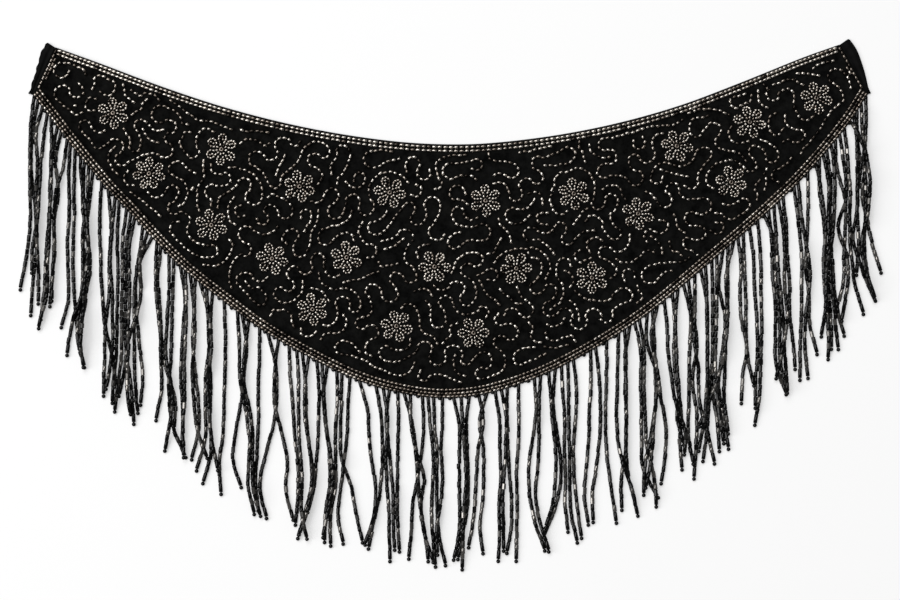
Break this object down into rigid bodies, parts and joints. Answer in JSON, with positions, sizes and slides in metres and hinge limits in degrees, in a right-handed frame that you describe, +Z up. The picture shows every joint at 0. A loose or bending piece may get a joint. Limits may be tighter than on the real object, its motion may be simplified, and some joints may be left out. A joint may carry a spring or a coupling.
{
  "type": "beaded belt",
  "caption": "Crescent hip belt of black cloth with bead-edged rim, sewn bead flowers, cloth end tabs and a long bead fringe, laid flat.",
  "frame": {"origin": "on the underside of the cloth panel, on its middle line and about half way between waist edge and lower edge", "axes": "+X along the belt, towards the right end as worn facing the viewer; +Y towards the waist edge; +Z up from the surface it lies on, out of the beaded face"},
  "size_m": [0.4747, 0.2917, 0.0094],
  "materials": {
    "panel_cloth": "matt napped cloth",
    "tab_cloth": "matt cloth",
    "silver_beads": "metal-coated glass, glossy",
    "black_beads": "opaque black glass, glossy"
  },
  "bodies": {
    "root": {"panel": "panel_cloth", "left_tab": "tab_cloth", "right_tab": "tab_cloth", "waist_row_1": "silver_beads", "waist_row_2": "silver_beads", "lower_row_1": "silver_beads", "lower_row_2": "silver_beads", "lower_row_3": "silver_beads", "left_end_row": "silver_beads", "right_end_row": "silver_beads", "flower_01": "silver_beads", "flower_02": "silver_beads", "flower_03": "silver_beads", "flower_04": "silver_beads", "flower_05": "silver_beads", "flower_06": "silver_beads", "flower_07": "silver_beads", "flower_08": "silver_beads", "flower_09": "silver_beads", "flower_10": "silver_beads", "flower_11": "silver_beads", "flower_12": "silver_beads", "flower_13": "silver_beads", "flower_14": "silver_beads", "flower_15": "silver_beads", "flower_16": "silver_beads", "flower_17": "silver_beads", "flower_18": "silver_beads", "flower_19": "silver_beads", "flower_20": "silver_beads", "flower_21": "silver_beads", "fringe_01": "black_beads", "fringe_02": "black_beads", "fringe_03": "black_beads", "fringe_04": "black_beads", "fringe_05": "black_beads", "fringe_06": "black_beads", "fringe_07": "black_beads", "fringe_08": "black_beads", "fringe_09": "black_beads", "fringe_10": "black_beads"}
  },
  "joints": []
}
